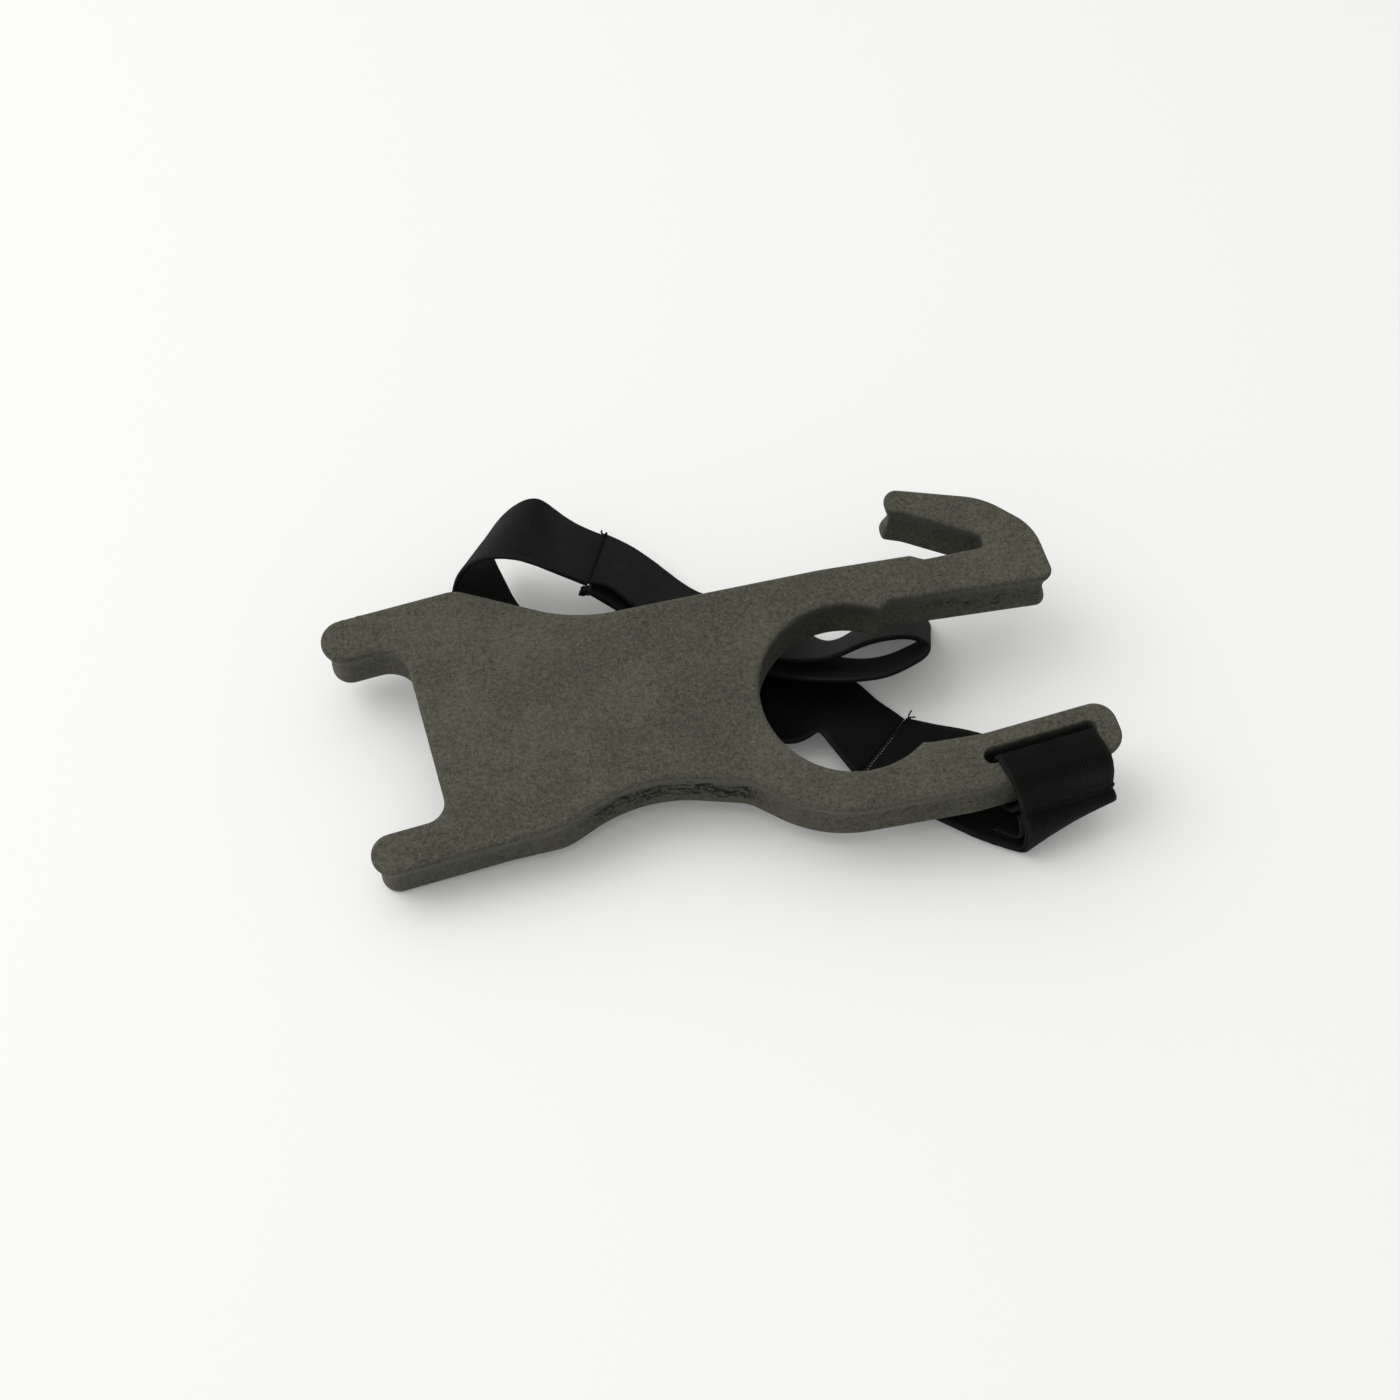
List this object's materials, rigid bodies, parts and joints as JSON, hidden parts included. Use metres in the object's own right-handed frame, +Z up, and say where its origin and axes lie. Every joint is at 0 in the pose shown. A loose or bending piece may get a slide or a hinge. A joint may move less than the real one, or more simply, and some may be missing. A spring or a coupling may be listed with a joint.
{
  "type": "foam strap plate",
  "caption": "Flat die-cut foam plate with a forked end, a round open hole, a hooked arm and a slotted arm that carries a sewn elastic strap loop.",
  "frame": {"origin": "centre of the base of the bounding box, on the surface the assembly rests on", "axes": "+X along the plate from the forked end to the hook end, +Y from the slotted arm to the hooked arm, +Z up"},
  "size_m": [0.1779, 0.1222, 0.0378],
  "materials": {
    "foam": "matte closed-cell foam",
    "elastic": "black ribbed woven elastic",
    "thread": "black sewing thread"
  },
  "bodies": {
    "strap": {"strap_doubled_run": "elastic", "strap_single_run": "elastic", "strap_hook_loop": "elastic", "middle_seam_stitches": "thread", "hook_loop_seam_stitches": "thread"},
    "plate": {"foam_plate": "foam", "strap_anchor_loop": "elastic", "anchor_seam_stitches": "thread"}
  },
  "joints": [
    {"name": "anchor_fold", "type": "hinge", "parent": "strap", "child": "plate", "pos_m": [0.07184, -0.05485, 0.0169], "axis": [0.9975, 0.0568, -0.0411], "range_deg": [0, 60]}
  ]
}
